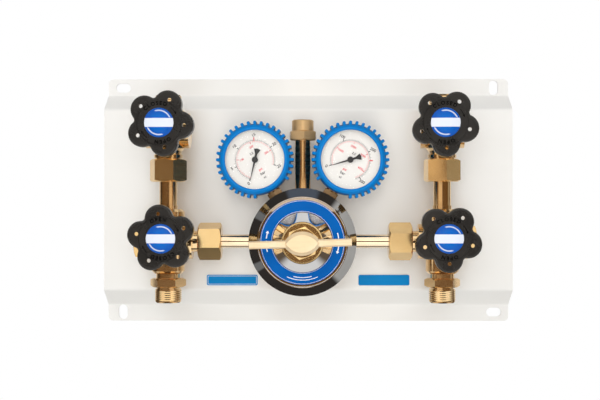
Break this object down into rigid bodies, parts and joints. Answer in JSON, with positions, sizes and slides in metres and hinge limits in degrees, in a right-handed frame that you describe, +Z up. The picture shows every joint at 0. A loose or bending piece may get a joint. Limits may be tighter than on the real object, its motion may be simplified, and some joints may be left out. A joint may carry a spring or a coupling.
{
  "type": "gas cylinder manifold",
  "caption": "Wall panel manifold joining two gas cylinder lines through hand valves and unions to one pressure regulator with two gauges and a top outlet.",
  "frame": {"origin": "centre of the wall slot pattern, in the plane of the wall", "axes": "+X to the right seen from the front, +Y into the wall, +Z up"},
  "size_m": [0.41, 0.155, 0.248],
  "materials": {
    "stainless": "brushed stainless sheet",
    "zinc_steel": "zinc plated",
    "spring_steel": "hardened spring wire",
    "brass": "machined and polished",
    "chrome": "bright chrome plate",
    "aluminium": "machined",
    "black_plastic": "moulded, satin",
    "blue_badge": "domed gloss",
    "blue_enamel": "enamelled plate",
    "blue_print": "printed aluminium",
    "blue_rubber": "moulded rubber",
    "black_rubber": "moulded rubber",
    "white_dial": "satin white",
    "black_paint": "satin black",
    "glass": "clear flat glass"
  },
  "bodies": {
    "manifold": {"mounting_panel": "stainless", "panel_screws": "zinc_steel", "panel_washers": "zinc_steel", "label_plates": "blue_enamel", "union_nuts": "brass", "side_plugs": "brass", "regulator_body": "brass", "nozzle": "brass", "poppet_spring": "spring_steel", "diaphragm": "black_rubber", "range_spring": "spring_steel", "bonnet": "chrome", "bonnet_label": "blue_print", "bonnet_bush": "brass", "outlet_tube": "brass", "outlet_coupling": "brass", "gland_nuts": "brass", "left_inlet_connector": "brass", "left_riser_pipe": "brass", "left_branch_pipe": "brass", "left_gauge_case": "zinc_steel", "left_gauge_movement": "brass", "left_gauge_boot": "blue_rubber", "left_gauge_dial": "white_dial", "left_gauge_window": "glass", "right_inlet_connector": "brass", "right_riser_pipe": "brass", "right_branch_pipe": "brass", "right_gauge_case": "zinc_steel", "right_gauge_movement": "brass", "right_gauge_boot": "blue_rubber", "right_gauge_dial": "white_dial", "right_gauge_window": "glass", "upper_left_valve_body": "brass", "lower_left_valve_body": "brass", "upper_right_valve_body": "brass", "lower_right_valve_body": "brass"},
    "spring_button": {"spring_button": "zinc_steel"},
    "t_handle": {"t_handle": "brass"},
    "poppet": {"poppet": "stainless", "diaphragm_plate": "aluminium"},
    "left_pointer": {"left_gauge_pointer": "black_paint"},
    "right_pointer": {"right_gauge_pointer": "black_paint"},
    "upper_left_wheel": {"upper_left_spindle": "stainless", "upper_left_handwheel": "black_plastic", "upper_left_badge": "blue_badge"},
    "upper_left_plug": {"upper_left_valve_plug": "brass"},
    "lower_left_wheel": {"lower_left_spindle": "stainless", "lower_left_handwheel": "black_plastic", "lower_left_badge": "blue_badge"},
    "lower_left_plug": {"lower_left_valve_plug": "brass"},
    "upper_right_wheel": {"upper_right_spindle": "stainless", "upper_right_handwheel": "black_plastic", "upper_right_badge": "blue_badge"},
    "upper_right_plug": {"upper_right_valve_plug": "brass"},
    "lower_right_wheel": {"lower_right_spindle": "stainless", "lower_right_handwheel": "black_plastic", "lower_right_badge": "blue_badge"},
    "lower_right_plug": {"lower_right_valve_plug": "brass"}
  },
  "joints": [
    {"name": "upper_left_wheel_turn", "type": "hinge", "parent": "manifold", "child": "upper_left_wheel", "pos_m": [-0.136, -0.066, 0.0706], "axis": [-0.0279, -0.9996, 0], "range_deg": [0, 720]},
    {"name": "upper_left_plug_lift", "type": "slide", "parent": "upper_left_wheel", "child": "upper_left_plug", "axis": [-0.0279, -0.9996, 0], "range_m": [0, 0.003]},
    {"name": "lower_left_wheel_turn", "type": "hinge", "parent": "manifold", "child": "lower_left_wheel", "pos_m": [-0.136, -0.066, -0.0369], "axis": [0, -1, 0], "range_deg": [0, 720]},
    {"name": "lower_left_plug_lift", "type": "slide", "parent": "lower_left_wheel", "child": "lower_left_plug", "axis": [0, -1, 0], "range_m": [0, 0.003]},
    {"name": "upper_right_wheel_turn", "type": "hinge", "parent": "manifold", "child": "upper_right_wheel", "pos_m": [0.1304, -0.066, 0.0706], "axis": [-0.0506, -0.9987, 0], "range_deg": [0, 720]},
    {"name": "upper_right_plug_lift", "type": "slide", "parent": "upper_right_wheel", "child": "upper_right_plug", "axis": [-0.0506, -0.9987, 0], "range_m": [0, 0.003]},
    {"name": "lower_right_wheel_turn", "type": "hinge", "parent": "manifold", "child": "lower_right_wheel", "pos_m": [0.1304, -0.066, -0.0369], "axis": [0, -1, 0], "range_deg": [0, 720]},
    {"name": "lower_right_plug_lift", "type": "slide", "parent": "lower_right_wheel", "child": "lower_right_plug", "axis": [0, -1, 0], "range_m": [0, 0.003]},
    {"name": "button_travel", "type": "slide", "parent": "manifold", "child": "spring_button", "axis": [0, 1, 0], "range_m": [0, 0.0045], "deforming": ["range_spring"]},
    {"name": "handle_turn", "type": "hinge", "parent": "spring_button", "child": "t_handle", "pos_m": [-0.005, -0.12, -0.0408], "axis": [0, -1, 0], "range_deg": [-1080, 0]},
    {"name": "poppet_lift", "type": "slide", "parent": "manifold", "child": "poppet", "axis": [0, 1, 0], "range_m": [0, 0.0012], "stiffness_N_per_m": 1500, "springref_m": -0.0005, "deforming": ["poppet_spring", "diaphragm"]},
    {"name": "left_pointer_turn", "type": "hinge", "parent": "manifold", "child": "left_pointer", "pos_m": [-0.05088, -0.08, 0.03802], "axis": [0, -1, 0], "range_deg": [-270, 0], "stiffness_Nm_per_rad": 0.0002},
    {"name": "right_pointer_turn", "type": "hinge", "parent": "manifold", "child": "right_pointer", "pos_m": [0.04088, -0.08, 0.03802], "axis": [0, -1, 0], "range_deg": [-270, 0], "stiffness_Nm_per_rad": 0.0002}
  ],
  "couplings": [
    {"joint": "upper_left_plug_lift", "follows": "upper_left_wheel_turn", "m_per_rad": 0.0002387},
    {"joint": "lower_left_plug_lift", "follows": "lower_left_wheel_turn", "m_per_rad": 0.0002387},
    {"joint": "upper_right_plug_lift", "follows": "upper_right_wheel_turn", "m_per_rad": 0.0002387},
    {"joint": "lower_right_plug_lift", "follows": "lower_right_wheel_turn", "m_per_rad": 0.0002387},
    {"joint": "button_travel", "follows": "handle_turn", "m_per_rad": -0.0002387}
  ]
}
